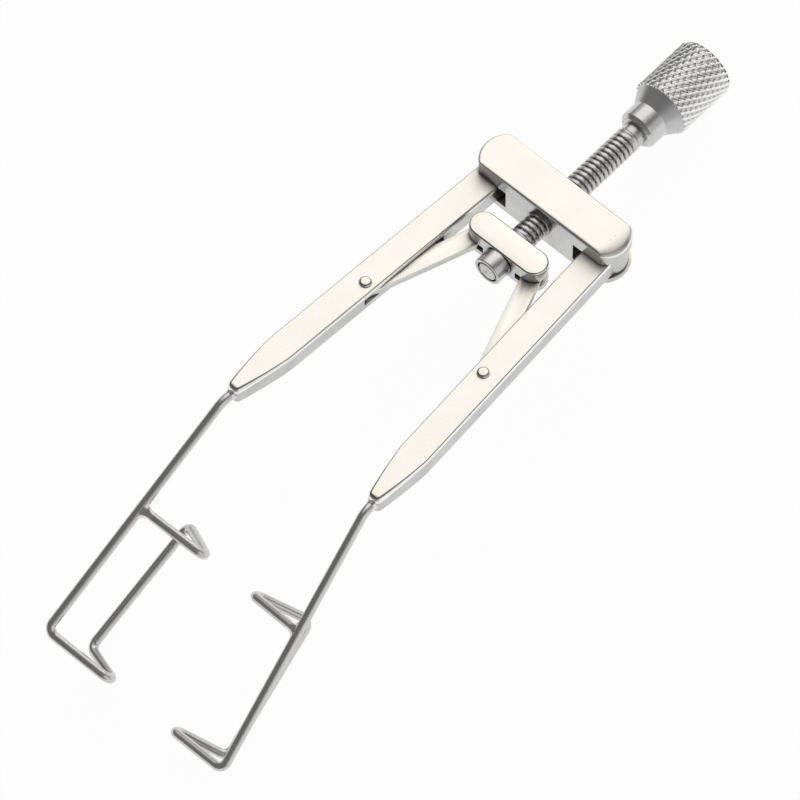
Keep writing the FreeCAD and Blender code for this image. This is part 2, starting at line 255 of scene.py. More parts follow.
def mixColours(tree, factor, first, second):
    made = put(tree, "ShaderNodeMix", data_type="RGBA")
    feed(tree, factor, made.inputs[0])
    feed(tree, first, made.inputs[6])
    feed(tree, second, made.inputs[7])
    return made.outputs[2]


def newFinish(name, sizes):
    inputs = {"Light Tone": ("Color", (0.9, 0.9, 0.9, 1)), "Dark Tone": ("Color", (0.6, 0.6, 0.6, 1))}
    inputs.update({size: ("Float", value) for size, value in sizes.items()})
    tree, start, end = newTree(name, "ShaderNodeTree", inputs, {
        "Color": ("Color", None), "Roughness": ("Float", None), "Normal": ("Vector", None)})
    return tree, start.outputs, end


def endFinish(tree, given, end, tone, wear, height, depth):
    # tone runs from dark to light, wear from smooth to rough, and height makes the bump
    spread = calc(tree, "SUBTRACT", given["Rough"], given["Smooth"])
    roughness = calc(tree, "ADD", given["Smooth"], calc(tree, "MULTIPLY", wear, spread))
    feed(tree, mixColours(tree, tone, given["Dark Tone"], given["Light Tone"]), end.inputs["Color"])
    feed(tree, roughness, end.inputs["Roughness"])
    feed(tree, addBump(tree, height, depth, 0.01 * mm), end.inputs["Normal"])
    return tree


def mixed(tree, first, share, second):
    return calc(tree, "ADD", calc(tree, "MULTIPLY", first, share), calc(tree, "MULTIPLY", second, 1 - share))


def makeBlastGroup():
    # fine blasted grain with slight clouds of tone
    tree, given, end = newFinish("blastedGrain", {
        "Grain Size": 0.1, "Grain Depth": 0.2, "Smooth": 0.35, "Rough": 0.5})
    place = put(tree, "ShaderNodeTexCoord").outputs["Object"]
    perMetre = calc(tree, "DIVIDE", 1.0 / mm, given["Grain Size"])
    grain = noiseAt(tree, place, perMetre, 3.0, 0.6)
    cloud = noiseAt(tree, place, calc(tree, "MULTIPLY", perMetre, 0.03), 3.0)
    tone = mixed(tree, ramped(tree, cloud, 0.35, 0.65), 0.6, ramped(tree, grain, 0.4, 0.6))
    return endFinish(tree, given, end, tone, grain, grain, given["Grain Depth"])


def makeTurnedGroup():
    # rings that a lathe tool leaves, read along the screw's axis
    tree, given, end = newFinish("latheRings", {
        "Ring Width": 0.05, "Ring Depth": 0.3, "Smooth": 0.15, "Rough": 0.35})
    place = put(tree, "ShaderNodeTexCoord").outputs["Object"]
    along = put(tree, "ShaderNodeVectorMath", operation="DOT_PRODUCT")
    tree.links.new(place, along.inputs[0])
    along.inputs[1].default_value = alongScrew
    rings = put(tree, "ShaderNodeTexNoise", noise_dimensions="1D")
    feed(tree, along.outputs["Value"], rings.inputs["W"])
    feed(tree, calc(tree, "DIVIDE", 1.0 / mm, given["Ring Width"]), rings.inputs["Scale"])
    rings.inputs["Detail"].default_value = 3.0
    lines = rings.outputs["Fac"]
    wear = mixed(tree, lines, 0.6, noiseAt(tree, place, 0.8 / mm, 3.0))
    return endFinish(tree, given, end, lines, wear, lines, given["Ring Depth"])


def makePolishGroup():
    # hand polish: faint wandering smudges on an even bright metal
    tree, given, end = newFinish("handPolish", {
        "Smudge Size": 2.0, "Waviness": 0.1, "Smooth": 0.08, "Rough": 0.2})
    place = put(tree, "ShaderNodeTexCoord").outputs["Object"]
    perMetre = calc(tree, "DIVIDE", 1.0 / mm, given["Smudge Size"])
    smudge = noiseAt(tree, place, perMetre, 4.0, 0.55)
    scratch = noiseAt(tree, place, calc(tree, "MULTIPLY", perMetre, 14.0), 2.0)
    return endFinish(tree, given, end, smudge, ramped(tree, smudge, 0.3, 0.7), scratch, given["Waviness"])


def makeCreviceGroup():
    # painted shade: slots, saw cuts and the feet of raised parts are darkened in the colour by an occlusion mask
    tree, start, end = newTree("creviceShade", "ShaderNodeTree", {
        "Tone": ("Color", (0.8, 0.8, 0.8, 1)), "Crevice Shade Tone": ("Color", (0.2, 0.2, 0.2, 1)),
        "Reach": ("Float", 1.2 * mm), "Closed": ("Float", 0.25), "Open": ("Float", 0.8),
    }, {"Color": ("Color", None)})
    given = start.outputs
    occluded = put(tree, "ShaderNodeAmbientOcclusion", samples=6)
    tree.links.new(given["Reach"], occluded.inputs["Distance"])
    deep = ramped(tree, occluded.outputs["AO"], given["Closed"], given["Open"], 1.0, 0.0)
    feed(tree, mixColours(tree, deep, given["Tone"], given["Crevice Shade Tone"]), end.inputs["Color"])
    return tree


def tint(red, green, blue):
    return (red, green, blue, 1.0)


finishes = {
    "blasted": {"group": "blastedGrain",
                "Light Tone": tint(0.985, 0.945, 0.87), "Dark Tone": tint(0.955, 0.905, 0.835),
                "Grain Size": 0.09, "Grain Depth": 0.25, "Smooth": 0.40, "Rough": 0.52},
    "groundSide": {"group": "blastedGrain",
                   "Light Tone": tint(0.59, 0.59, 0.57), "Dark Tone": tint(0.50, 0.50, 0.485),
                   "Grain Size": 0.07, "Grain Depth": 0.12, "Smooth": 0.20, "Rough": 0.32},
    "turned": {"group": "latheRings",
               "Light Tone": tint(0.70, 0.695, 0.69), "Dark Tone": tint(0.54, 0.535, 0.54),
               "Ring Width": 0.06, "Ring Depth": 0.3, "Smooth": 0.17, "Rough": 0.30},
    # the cone's tones are a darker copy of the turned finish, painted shade; its greater roughness is real
    "cone": {"group": "latheRings",
             "Light Tone": tint(0.66, 0.65, 0.66), "Dark Tone": tint(0.50, 0.49, 0.51),
             "Ring Width": 0.08, "Ring Depth": 0.25, "Smooth": 0.32, "Rough": 0.44},
    "thread": {"group": "handPolish",
               "Light Tone": tint(0.65, 0.64, 0.63), "Dark Tone": tint(0.54, 0.53, 0.525),
               "Smudge Size": 1.2, "Waviness": 0.1, "Smooth": 0.22, "Rough": 0.34},
    "knurl": {"group": "handPolish",
              "Light Tone": tint(0.93, 0.93, 0.91), "Dark Tone": tint(0.83, 0.83, 0.81),
              "Smudge Size": 0.8, "Waviness": 0.15, "Smooth": 0.14, "Rough": 0.26},
    "wire": {"group": "handPolish",
             "Light Tone": tint(0.65, 0.645, 0.64), "Dark Tone": tint(0.56, 0.555, 0.55),
             "Smudge Size": 2.0, "Waviness": 0.08, "Smooth": 0.17, "Rough": 0.28},
    "braze": {"group": "handPolish",
              "Light Tone": tint(0.84, 0.83, 0.81), "Dark Tone": tint(0.62, 0.61, 0.59),
              "Smudge Size": 0.7, "Waviness": 0.2, "Smooth": 0.08, "Rough": 0.18},
}
effectGroups = {
    "blastedGrain": makeBlastGroup(), "latheRings": makeTurnedGroup(), "handPolish": makePolishGroup(),
    "creviceShade": makeCreviceGroup(),
}
# painted shade: the tone that crevices are darkened to
creviceShadeTone = tint(0.075, 0.07, 0.075)


def effectNode(tree, finish):
    made = put(tree, "ShaderNodeGroup", node_tree=effectGroups[finish["group"]])
    for name, value in finish.items():
        if name != "group":
            made.inputs[name].default_value = value
    return made


grooveShadeTones = {   # painted shade down a cut: the tone, and how deep the cut is where it begins and where it is full
    "thread": [(tint(0.33, 0.325, 0.32), 0.15, 0.9)],
    "knurl": [(tint(0.64, 0.635, 0.625), 0.05, 0.6), (tint(0.46, 0.455, 0.445), 0.7, 0.97)],
}
creviceShadeReach = {"knurl": 0.12, "bar": 0.8}   # elsewhere 1.2


# paints shade into the colour where the occlusion mask finds a crevice
def shadedCrevices(tree, colour, name):
    made = put(tree, "ShaderNodeGroup", node_tree=effectGroups["creviceShade"])
    made.inputs["Reach"].default_value = creviceShadeReach.get(name, 1.2) * mm
    made.inputs["Crevice Shade Tone"].default_value = creviceShadeTone
    tree.links.new(colour, made.inputs["Tone"])
    return made.outputs["Color"]


def newMetal(name):
    material = bpy.data.materials.new(name)
    material.use_nodes = True
    shader = material.node_tree.nodes["Principled BSDF"]
    shader.inputs["Metallic"].default_value = 1.0
    return material, material.node_tree, shader


def makeMetal(name):
    material, tree, shader = newMetal(name)
    effect = effectNode(tree, finishes[name])
    colour = effect.outputs["Color"]
    if name in grooveShadeTones:
        sunk = put(tree, "ShaderNodeAttribute", attribute_name="sunk").outputs["Fac"]
        # painted shade down the grooves of the thread and knurl
        for tone, begins, full in grooveShadeTones[name]:
            colour = mixColours(tree, ramped(tree, sunk, begins, full), colour, tone)
    tree.links.new(shadedCrevices(tree, colour, name), shader.inputs["Base Color"])
    tree.links.new(effect.outputs["Roughness"], shader.inputs["Roughness"])
    tree.links.new(effect.outputs["Normal"], shader.inputs["Normal"])
    return material


rimHighlightTone = tint(0.95, 0.94, 0.92)   # painted highlight on the steep part of a rounded edge
rimHighlightBand = (0.06, 0.22)             # how far up a face looks where that painted highlight sets in
underShadeBand = (-0.5, -0.2)           # and where the painted shade line along a lower edge ends


def facingAlong(tree, direction):
    facing = put(tree, "ShaderNodeVectorMath", operation="DOT_PRODUCT")
    tree.links.new(put(tree, "ShaderNodeTexCoord").outputs["Normal"], facing.inputs[0])
    facing.inputs[1].default_value = direction
    return facing.outputs["Value"]


def makeBarMetal(name, flatUpTo, shadeLineUpTo, shadeLineTone):
    # blasted flats on top and below, ground sides, and rounded edges between them with a painted highlight and
    # painted shade lines
    material, tree, shader = newMetal(name)
    flats = effectNode(tree, finishes["blasted"])
    edges = effectNode(tree, finishes["groundSide"])
    upward = facingAlong(tree, upAtRest)
    isFlat = ramped(tree, calc(tree, "ABSOLUTE", upward), *flatUpTo)
    # painted highlight: the steep part of a rounded edge turns near white
    rimHighlighted = mixColours(tree, ramped(tree, upward, *rimHighlightBand), edges.outputs["Color"], rimHighlightTone)
    # painted shade: a dark line where the rounded edges turn over from the flats, above and below
    turned = calc(tree, "MAXIMUM", ramped(tree, upward, *shadeLineUpTo), ramped(tree, upward, *underShadeBand, 1.0, 0.0))
    shadeLined = mixColours(tree, turned, rimHighlighted, shadeLineTone)
    colour = mixColours(tree, isFlat, shadeLined, flats.outputs["Color"])
    tree.links.new(shadedCrevices(tree, colour, "bar"), shader.inputs["Base Color"])
    rough = put(tree, "ShaderNodeMix", data_type="FLOAT")
    normal = put(tree, "ShaderNodeMix", data_type="VECTOR")
    for mixer, output, first, second in ((rough, "Roughness", 2, 3), (normal, "Normal", 4, 5)):
        tree.links.new(isFlat, mixer.inputs[0])
        tree.links.new(edges.outputs[output], mixer.inputs[first])
        tree.links.new(flats.outputs[output], mixer.inputs[second])
    tree.links.new(rough.outputs[0], shader.inputs["Roughness"])
    tree.links.new(normal.outputs[1], shader.inputs["Normal"])
    return material


def shadeSquareEnds(material):
    # painted shade: faces square across the screw are darkened, mottled by a noise
    tree = material.node_tree
    shader = tree.nodes["Principled BSDF"]
    square = ramped(tree, calc(tree, "ABSOLUTE", facingAlong(tree, alongScrew)), 0.8, 0.97)
    mottle = noiseAt(tree, put(tree, "ShaderNodeTexCoord").outputs["Object"], 6.0 / mm, 3.0)
    endShade = mixColours(tree, ramped(tree, mottle, 0.35, 0.65), tint(0.38, 0.38, 0.37), tint(0.66, 0.66, 0.65))
    plain = shader.inputs["Base Color"].links[0].from_socket
    tree.links.new(mixColours(tree, square, plain, endShade), shader.inputs["Base Color"])


metals = {name: makeMetal(name) for name in ("turned", "cone", "thread", "knurl", "wire", "braze")}
metals["bar"] = makeBarMetal("blastedBar", (0.91, 0.98), (0.6, 0.74), tint(0.30, 0.295, 0.285))
metals["buffedBar"] = makeBarMetal("buffedBar", (0.80, 0.92), (0.5, 0.62), tint(0.5, 0.495, 0.485))
shadeSquareEnds(metals["turned"])
print("materials:", len(metals))


# Making and placing pieces

def meshObject(name, mesh):
    made = bpy.data.objects.new(name, mesh)
    bpy.context.scene.collection.objects.link(made)
    return made


def skinLoops(bm, loops, closed=False):
    # faces from ring to ring; a ring of one point is a pole
    for near, far in zip(loops, loops[1:] + loops[:1] if closed else loops[1:]):
        count = max(len(near), len(far))
        for step in range(count):
            following = (step + 1) % count
            corners = []
            for loop, places in ((near, (step, following)), (far, (following, step))):
                corners += [loop[0]] if len(loop) == 1 else [loop[place] for place in places]
            bm.faces.new(corners)


def shellObject(name, bm):
    bmesh.ops.recalc_face_normals(bm, faces=bm.faces)
    mesh = bpy.data.meshes.new(name)
    bm.to_mesh(mesh)
    bm.free()
    return meshObject(name, mesh)


def bakeModifiers(piece):
    depsgraph = bpy.context.evaluated_depsgraph_get()
    mesh = bpy.data.meshes.new_from_object(
        piece.evaluated_get(depsgraph), preserve_all_data_layers=True, depsgraph=depsgraph)
    piece.modifiers.clear()
    old = piece.data
    piece.data = mesh
    mesh.name = piece.name
    bpy.data.meshes.remove(old)
    return piece


def runTree(piece, tree, values):
    modifier = piece.modifiers.new(tree.name, "NODES")
    modifier.node_group = tree
    for item in tree.interface.items_tree:
        if item.in_out == "INPUT" and item.name in values:
            modifier[item.identifier] = values[item.name]
    return bakeModifiers(piece)


def crispShading(mesh):
    mesh.shade_smooth()
    mesh.set_sharp_from_angle(angle=sharpFrom)


def carry(piece, matrix):
    piece.data.transform(matrix)
    if matrix.to_3x3().determinant() < 0:
        piece.data.flip_normals()
    return piece


def toStand(side=None):
    scaled = Matrix.Diagonal((mm, mm, mm, 1))
    if side is None:
        return toRest @ scaled
    return toRest @ sides[side] @ scaled


def declare(piece, body, slotName, *nodes):
    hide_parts(*nodes)
    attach(piece, body)


def fitToArm(piece, side, metal, slotName, node):
    piece.data.materials.append(metals[metal])
    carry(piece, splayed)
    carry(piece, toStand(side))
    crispShading(piece.data)
    declare(piece, side + "_arm", slotName, side + node)


# Turned pieces

def roundedProfile(points, roundings, steps=5):
    made = [Vector(points[0])]
    for before, corner, after, radius in zip(points, points[1:], points[2:], roundings):
        corner = Vector(corner)
        back = (Vector(before) - corner).normalized()
        ahead = (Vector(after) - corner).normalized()
        half = back.angle(ahead) / 2
        if radius <= 0:
            made.append(corner)
            continue
        centre = corner + (back + ahead).normalized() * (radius / math.sin(half))
        first = corner + back * (radius / math.tan(half)) - centre
        last = corner + ahead * (radius / math.tan(half)) - centre
        for step in range(steps + 1):
            made.append(centre + first.slerp(last, step / steps).normalized() * radius)
    made.append(Vector(points[-1]))
    return made


def turnedPiece(name, profile, segments, rows=None):
    # profile: (y, radius) from tip to end; rows: spacing of extra rings in one stretch of y
    rings = []
    for first, second in zip(profile, profile[1:]):
        rings.append(first)
        if rows and rows["start"] - hair <= first[0] < second[0] <= rows["end"] + hair:
            count = math.ceil((second[0] - first[0]) / rows["spacing"])
            rings += [Vector(first).lerp(Vector(second), step / count) for step in range(1, count)]
    rings.append(profile[-1])
    bm = bmesh.new()
    loops = []
    for y, radius in rings:
        turns = [math.tau * step / segments for step in range(segments if radius > hair else 1)]
        loops.append([bm.verts.new((radius * math.sin(turn), y, screwAxisHeight + radius * math.cos(turn)))
                      for turn in turns])
    skinLoops(bm, loops)
    return shellObject(name, bm)


turnedFacets = 72
screw = dict(
    tip=-8.965, dimpleRadius=0.42, dimpleDepth=0.22, journal=0.95, shoulder=-4.785,
    thread=1.25, threadEnd=9.9, neck=1.18, end=10.8, spindle=1.0, spindleEnd=17.3,
    pitch=0.55, threadDepth=0.19, crestShare=0.44, rootShare=0.88, runOut=0.9, endChamfer=0.12, rowsPerTurn=12,
)
ring = dict(rear=-7.515, front=-9.065, radius=1.45, grooveRadius=1.0, grooveWidth=0.13, grooveDepth=0.25)
knob = dict(
    start=10.8, footRadius=1.6, footLength=0.35, collarRadius=1.95, collarLength=2.0,
    coneLength=1.4, coneRadius=2.78, radius=2.95, length=6.3, endRound=0.45,
    ridges=28, helix=30.0, knurlDepth=0.22, crestShare=0.2, flankShare=0.4, notchShare=0.32,
    knurlRunOut=0.012, facetsPerRidge=14, rowSpacing=0.06,
)


def makeScrew():
    points = [
        (screw["tip"] + screw["dimpleDepth"], 0), (screw["tip"], screw["dimpleRadius"]),
        (screw["tip"], screw["journal"]), (screw["shoulder"], screw["journal"]),
        (screw["shoulder"], screw["thread"]), (screw["threadEnd"], screw["thread"]),
        (screw["threadEnd"] + screw["endChamfer"], screw["neck"]), (screw["end"], screw["neck"]),
        (screw["end"], screw["spindle"]), (screw["spindleEnd"], screw["spindle"]),
        (screw["spindleEnd"], 0),
    ]
    profile = roundedProfile(points, [0.06, 0.08, 0, 0.1, 0.02, 0.03, 0, 0, 0])
    stretch = dict(start=screw["shoulder"], end=screw["threadEnd"],
                   spacing=screw["pitch"] / screw["rowsPerTurn"])
    piece = turnedPiece("adjustingScrew", profile, turnedFacets, stretch)
    runTree(piece, threadTree, {
        "Pitch": screw["pitch"], "Depth": screw["threadDepth"], "Crest Share": screw["crestShare"],
        "Root Share": screw["rootShare"], "Start": screw["shoulder"] - 0.1, "End": screw["threadEnd"],
        "Run Out": screw["runOut"],
        "Axis Height": screwAxisHeight, "Material": metals["thread"],
    })
    crispShading(carry(piece, toStand()).data)
    declare(piece, "screw", "turned_steel", "adjusting_screw")


def makeRing():
    points = [
        (ring["rear"], 0), (ring["rear"], ring["radius"]), (ring["front"], ring["radius"]),
        (ring["front"], ring["grooveRadius"] + ring["grooveWidth"]),
        (ring["front"] + ring["grooveDepth"], ring["grooveRadius"] + ring["grooveWidth"] / 2),
        (ring["front"] + ring["grooveDepth"], ring["grooveRadius"] - ring["grooveWidth"] / 2),
        (ring["front"] + 0.02, ring["grooveRadius"] - ring["grooveWidth"] / 2), (ring["front"] + 0.02, 0.4),
        (ring["front"] + 0.2, 0),
    ]
    profile = roundedProfile(points, [0.05, 0.12, 0.04, 0, 0, 0.05, 0.05])
    piece = turnedPiece("retainingRing", profile, turnedFacets)
    piece.data.materials.append(metals["turned"])
    crispShading(carry(piece, toStand()).data)
    declare(piece, "screw", "turned_steel", "retaining_ring")


def makeKnob():
    coneStart = knob["start"] + knob["collarLength"]
    gripStart = coneStart + knob["coneLength"]
    gripEnd = gripStart + knob["length"]
    points = [
        (knob["start"], 0), (knob["start"], knob["footRadius"]),
        (knob["start"] + knob["footLength"], knob["collarRadius"]), (coneStart, knob["collarRadius"]),
        (gripStart, knob["coneRadius"]), (gripStart + 0.02, knob["radius"]),
        (gripEnd, knob["radius"]), (gripEnd, 0),
    ]
    profile = roundedProfile(points, [0.08, 0.12, 0.1, 0, 0.03, knob["endRound"]], 6)
    stretch = dict(start=gripStart, end=gripEnd, spacing=knob["rowSpacing"])
    piece = turnedPiece("knurledKnob", profile, knob["ridges"] * knob["facetsPerRidge"], stretch)
    stepAlong = math.tau * knob["radius"] / knob["ridges"] / math.tan(math.radians(knob["helix"]))
    runTree(piece, knurlTree, {
        "Ridges": float(knob["ridges"]), "Step Along": stepAlong, "Depth": knob["knurlDepth"],
        "Crest Share": knob["crestShare"], "Flank Share": knob["flankShare"],
        "Notch Share": knob["notchShare"],
        "Start": gripStart + 0.004, "End": gripEnd - 0.1, "Run Out": knob["knurlRunOut"],
        "Axis Height": screwAxisHeight, "Material": metals["knurl"],
    })
    plainFrom = len(piece.data.materials)
    for name in ("turned", "cone"):
        piece.data.materials.append(metals[name])
    for face in piece.data.polygons:
        if coneStart < face.center.y < gripStart:
            face.material_index = plainFrom + 1
        elif face.center.y < gripStart or face.center.y > gripEnd - 0.01:
            face.material_index = plainFrom
    coneEnd = [edge.index for edge in piece.data.edges
               if all(abs(piece.data.vertices[i].co.y - gripStart) < 0.003 for i in edge.vertices)]
    crispShading(carry(piece, toStand()).data)
    for index in coneEnd:
        piece.data.edges[index].use_edge_sharp = True
    declare(piece, "screw", "turned_steel", "knob")


# Bars, arms and links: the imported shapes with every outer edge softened

flushPins = ((arms["pivotSpacing"] / 2, 0, 0.6), (3.05, -6.15, 0.4))   # x, y and radius in yoke and crosshead


def holeAxes(side):
    # pins and rivets that are ground flush, so that their rims stay unbroken
    axes = [(sides[side] @ Vector((x, y, 0)), radius) for x, y, radius in flushPins]
    riveted = Vector((-rivet["offset"], -rivet["distance"], 0))
    return axes + [(sides[side] @ splayed @ riveted, rivet["radius"])]


def mergedCopy(node, metal="bar"):
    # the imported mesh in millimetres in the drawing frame, its loose triangles joined up
    mesh = frame["nodes"][node].data.copy()
    mesh.materials.clear()
    mesh.materials.append(metals[metal])
    bm = bmesh.new()
    bm.from_mesh(mesh)
    for face in bm.faces:
        face.smooth = True
    bmesh.ops.transform(bm, matrix=Matrix.Diagonal((1 / mm, 1 / mm, 1 / mm, 1)) @ fromRest, verts=bm.verts)
    bmesh.ops.remove_doubles(bm, verts=bm.verts, dist=0.0005)
    return mesh, bm


softening = dict(width=0.05, steps=3, flatWithin=0.8, foldFrom=25.0, holeMargin=0.08)   # crosshead and links


def softenedCopy(node, name, body):
    mesh, bm = mergedCopy(node)
    flatWithin = math.radians(softening["flatWithin"])
    foldFrom = math.radians(softening["foldFrom"])
    bmesh.ops.dissolve_limit(bm, angle_limit=flatWithin, verts=bm.verts, edges=bm.edges)
    weights = bm.edges.layers.float.new("bevel_weight_edge")
    holes = holeAxes("right") + holeAxes("left")
    for edge in bm.edges:
        if len(edge.link_faces) != 2 or edge.calc_face_angle(0) < foldFrom:
            continue
        middle = (edge.verts[0].co + edge.verts[1].co) / 2
        if any((middle.xy - axis.xy).length < radius + softening["holeMargin"] for axis, radius in holes):
            edge.smooth = False
            continue
        edge[weights] = 1.0
    bm.to_mesh(mesh)
    bm.free()
    piece = meshObject(name, mesh)
    bevel = piece.modifiers.new("softEdges", "BEVEL")
    bevel.limit_method = "WEIGHT"
    bevel.width = softening["width"]
    bevel.segments = softening["steps"]
    bevel.harden_normals = True
    bevel.use_clamp_overlap = True
    bakeModifiers(piece)
    piece.data.transform(toStand())
    declare(piece, body, "satin_steel", node)
    return piece


# Arms: a blank whose edges are rounded, more and more towards the tip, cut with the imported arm's holes and slot

armBlank = dict(
    width=2.98, bossRadius=2.1, taperStart=27.6, taperBulge=0.065, tipWidth=1.35, tipCorner=0.6,
    edgeRound=(0.21, 0.43), tipRound=(0.46, 0.68), roundFrom=6.5,
)
blank = dict(flatSkin=0.0008, sideSkin=0.004, roundSteps=8)   # how far flats and sides stand proud


def armOutline(steps=10):
    half = armBlank["width"] / 2
    tip = armBlank["tipWidth"] / 2
    boss = armBlank["bossRadius"]
    sweep = math.pi / 2 + math.asin(math.sqrt(boss ** 2 - half ** 2) / boss)
    turns = [sweep * i / steps for i in range(steps + 1)]
    taper = []
    for i in range(steps):
        t = 0.85 * i / (steps - 1)
        taper.append((half + (tip - half) * t + 4 * armBlank["taperBulge"] * t * (1 - t),
                      -armBlank["taperStart"] - (arms["length"] - armBlank["taperStart"]) * t))
    points = [(boss * math.sin(turn), boss * math.cos(turn)) for turn in turns]
    points += taper + [(tip, -arms["length"]), (0, -arms["length"])]
    half = roundedProfile(points, [0] * (len(points) - 3) + [armBlank["tipCorner"]], 8)
    return half + [Vector((-point.x, point.y)) for point in reversed(half[1:-1])]


def roundedBlank(name, outline, roundAt, bottom, top, metal="bar", skin=blank["sideSkin"]):
    # a slab drawn from its outline; roundAt gives how far its rims lean inward and how deep they are rounded
    count = len(outline)
    inward = []
    for i in range(count):
        before = (outline[i] - outline[i - 1]).normalized()
        after = (outline[(i + 1) % count] - outline[i]).normalized()
        middle = (before + after).normalized()
        inward.append(Vector((middle.y, -middle.x)) / max(middle.dot(after), 0.5))
    steps = blank["roundSteps"]
    levels = [(bottom, step) for step in reversed(range(steps + 1))]
    levels += [(top, step) for step in range(steps + 1)]
    bm = bmesh.new()
    rows = []
    for rim, turn in levels:
        angle = math.pi / 2 * turn / steps
        towardsMiddle = math.copysign(1, (bottom + top) / 2 - rim)
        row = []
        for point, normal in zip(outline, inward):
            lean, down = roundAt(point, normal, rim == top)
            place = point + lean * (1 - math.cos(angle)) + normal * skin
            row.append(bm.verts.new((
                place.x, place.y, rim + towardsMiddle * (blank["flatSkin"] + down * (1 - math.sin(angle))))))
        rows.append(row)
    skinLoops(bm, rows)
    bm.faces.new(rows[0])
    bm.faces.new(rows[-1])
    piece = shellObject(name, bm)
    piece.data.materials.append(metals[metal])
    return piece


def cutAsPacked(piece, node, body, metal="bar"):
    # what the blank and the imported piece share: the rounded rims, with every hole and slot
    packed, merged = mergedCopy(node, metal)
    merged.to_mesh(packed)
    merged.free()
    packedPiece = meshObject(node + "Packed", packed)
    shared = piece.modifiers.new("holes", "BOOLEAN")
    shared.operation = "INTERSECT"
    shared.solver = "EXACT"
    shared.object = packedPiece
    bakeModifiers(piece)
    bpy.data.objects.remove(packedPiece)
    crispShading(piece.data)
    flat = piece.modifiers.new("flatFaces", "WEIGHTED_NORMAL")
    flat.keep_sharp = True
    bakeModifiers(piece)
    piece.data.transform(toStand())
    declare(piece, body, "satin_steel", node)


def makeArmBar(side):
    def roundAt(point, normal, isTop):
        nearTip = min(1.0, max(0.0, 1 - (point.y + arms["length"]) / armBlank["roundFrom"]))
        across, down = (along + (atTip - along) * nearTip ** 2
                        for along, atTip in zip(armBlank["edgeRound"], armBlank["tipRound"]))
        return normal * across, down

    piece = roundedBlank(side + "ArmBar", armOutline(), roundAt, -arms["thickness"], 0.0)
    cutAsPacked(carry(piece, sides[side] @ splayed), side + "_arm", side + "_arm")


# Yoke: a blank like the arms', with the right end of its top buffed down

yokeBlank = dict(
    length=16.6, depth=4.2, endBulge=1.05, corner=0.45, top=1.75, bottom=-3.1, skin=-0.02,
    edgeRound=0.21, endRound=0.32, endFrom=1.4, buffFrom=2.8, buffLean=(1.25, 0.12), buffDrop=0.55,
)


def makeYokeBar(steps=12):
    half = yokeBlank["length"] / 2
    back = yokeBlank["depth"] / 2
    bulge = yokeBlank["endBulge"]
    radius = (back ** 2 + bulge ** 2) / (2 * bulge)
    sweep = math.asin(back / radius)
    end = [(half - radius + radius * math.cos(turn), radius * math.sin(turn))
           for turn in (sweep * (1 - 2 * i / steps) for i in range(steps + 1))]
    end = roundedProfile([(0, back)] + end + [(0, -back)],
                         [yokeBlank["corner"]] + [0] * (steps - 1) + [yokeBlank["corner"]], 6)[1:-1]
    outline = end + [-point for point in end]

    def roundAt(point, normal, isTop):
        nearEnd = min(1.0, max(0.0, (abs(point.x) - half + yokeBlank["endFrom"]) / yokeBlank["endFrom"]))
        across = yokeBlank["edgeRound"] + (yokeBlank["endRound"] - yokeBlank["edgeRound"]) * nearEnd
        if not isTop or point.x < 0:
            return normal * across, across
        buffed = min(1.0, max(0.0, (point.x - half + yokeBlank["buffFrom"]) / yokeBlank["buffFrom"])) ** 1.5
        endways, sideways = yokeBlank["buffLean"]
        return (normal * across - Vector((endways, sideways * point.y)) * buffed,
                across + yokeBlank["buffDrop"] * buffed)

    piece = roundedBlank("yokeBar", outline, roundAt, yokeBlank["bottom"], yokeBlank["top"],
                         "buffedBar", yokeBlank["skin"])
    cutAsPacked(piece, "yoke", "yoke", "buffedBar")


# Wires: one bent wire for each blade, from the socket in the arm round the loop to the joint

wire = dict(
    radius=0.45, socket=3.6, exitRun=1.1, exitBend=2.0, slope=36.9, flare=2.2, shank=12.15, blade=14.15,
    hookBend=0.9, tipBend=0.8, distalHook=(7.7, 2.75), distalRail=(1.95, 5.5),
    proximalHook=(6.95, 3.1), proximalRail=(1.75, 6.7), film=0.05,
)
wireSteps = dict(bend=14, ring=32)
brazeJoint = dict(reach=1.25, spread=1.05, wrap=75.0, proud=0.006)
brazeRing = dict(spread=0.12, length=0.22, back=0.3)


def bladePoint(distance, inward=0.0, below=0.0):
    slope = math.radians(wire["slope"])
    flare = math.radians(wire["flare"])
    ahead = distance * math.cos(slope) - below * math.sin(slope)
    down = distance * math.sin(slope) + below * math.cos(slope)
    return Vector((
        ahead * math.sin(flare) - inward * math.cos(flare),
        -ahead * math.cos(flare) - inward * math.sin(flare) - arms["length"] - wire["exitRun"],
        wireLevel - down))


def makeWire(side):
    joint = bladePoint(wire["shank"])
    bladeEnd = wire["shank"] + wire["blade"]
    toLoop = (bladePoint(wire["shank"], *wire["proximalHook"]) - joint).normalized()
    route = [
        (Vector((0, wire["socket"] - arms["length"], wireLevel)), 0.0),
        (bladePoint(0), wire["exitBend"]),
        (bladePoint(bladeEnd), wire["hookBend"]),
        (bladePoint(bladeEnd, *wire["distalHook"]), wire["tipBend"]),
        (bladePoint(bladeEnd, *wire["distalRail"]), wire["hookBend"]),
        (bladePoint(wire["shank"], *wire["proximalRail"]), wire["hookBend"]),
        (bladePoint(wire["shank"], *wire["proximalHook"]), wire["tipBend"]),
        (joint + toLoop * (wire["radius"] + wire["film"]), 0.0),
    ]
    mesh = bpy.data.meshes.new("route")
    mesh.from_pydata([tuple(point) for point, bend in route], [(i, i + 1) for i in range(len(route) - 1)], [])
    radii = mesh.attributes.new("bendRadius", "FLOAT", "POINT")
    radii.data.foreach_set("value", [bend for point, bend in route])
    piece = meshObject(side + "BladeWire", mesh)
    runTree(piece, wireTree, {
        "Wire Radius": wire["radius"], "Bend Steps": wireSteps["bend"], "Ring Steps": wireSteps["ring"],
        "Material": metals["wire"]})
    carry(piece, splayed)
    carry(piece, toStand(side))
    declare(piece, side + "_arm", "polished_wire", side + "_blade_wire")


